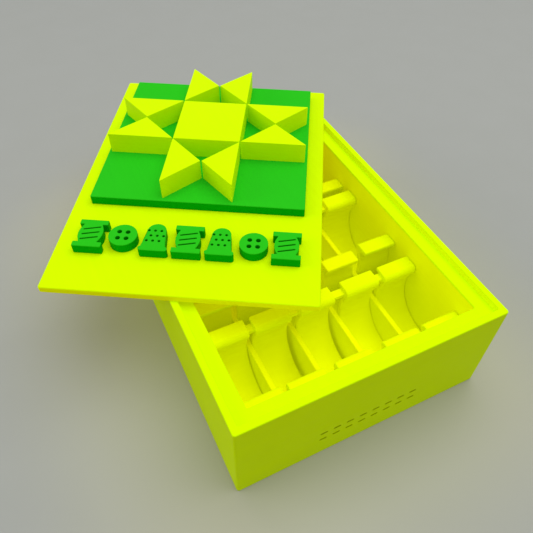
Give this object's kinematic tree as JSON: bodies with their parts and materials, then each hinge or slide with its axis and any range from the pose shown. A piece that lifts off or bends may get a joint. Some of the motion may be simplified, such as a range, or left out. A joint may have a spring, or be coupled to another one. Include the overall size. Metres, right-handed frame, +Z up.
{
  "type": "bobbin box",
  "caption": "Open printed tray with rows of C-shaped spring clips that hold sewing machine bobbins on edge, and a loose flat lid with a raised patchwork star.",
  "frame": {"origin": "middle of the box's underside", "axes": "+Z up; +Y from the stitched front wall to the back wall, along the box's long side; +X to the right, along the front wall"},
  "size_m": [0.1174, 0.1487, 0.0468],
  "materials": {
    "box_pla": "fluorescent yellow PLA as printed, fine layer lines, satin",
    "star_pla": "fluorescent yellow PLA as printed, satin",
    "green_pla": "green PLA as printed, satin"
  },
  "bodies": {
    "box": {"box_shell": "box_pla", "clip_front_1": "box_pla", "clip_front_2": "box_pla", "clip_front_3": "box_pla", "clip_front_4": "box_pla", "clip_front_5": "box_pla", "clip_middle_1": "box_pla", "clip_middle_2": "box_pla", "clip_middle_3": "box_pla", "clip_middle_4": "box_pla", "clip_middle_5": "box_pla", "clip_back_1": "box_pla", "clip_back_2": "box_pla", "clip_back_3": "box_pla", "clip_back_4": "box_pla", "clip_back_5": "box_pla", "slot_rib_1": "box_pla", "slot_rib_2": "box_pla", "slot_rib_3": "box_pla", "slot_rib_4": "box_pla", "tie_bar_front": "box_pla", "tie_bar_middle": "box_pla", "tie_bar_back": "box_pla"},
    "lid": {"lid_plate": "box_pla", "ground_plate": "green_pla", "star_centre": "star_pla", "star_point_1": "star_pla", "star_point_2": "star_pla", "star_point_3": "star_pla", "star_point_4": "star_pla", "star_point_5": "star_pla", "star_point_6": "star_pla", "star_point_7": "star_pla", "star_point_8": "star_pla", "motif_1_spool": "green_pla", "motif_2_button": "green_pla", "motif_3_thimble": "green_pla", "motif_4_spool": "green_pla", "motif_5_thimble": "green_pla", "motif_6_button": "green_pla", "motif_7_spool": "green_pla"}
  },
  "joints": [
    {"name": "lid_lift", "type": "slide", "parent": "box", "child": "lid", "axis": [0, 0, 1], "range_m": [0, 0.06]}
  ]
}
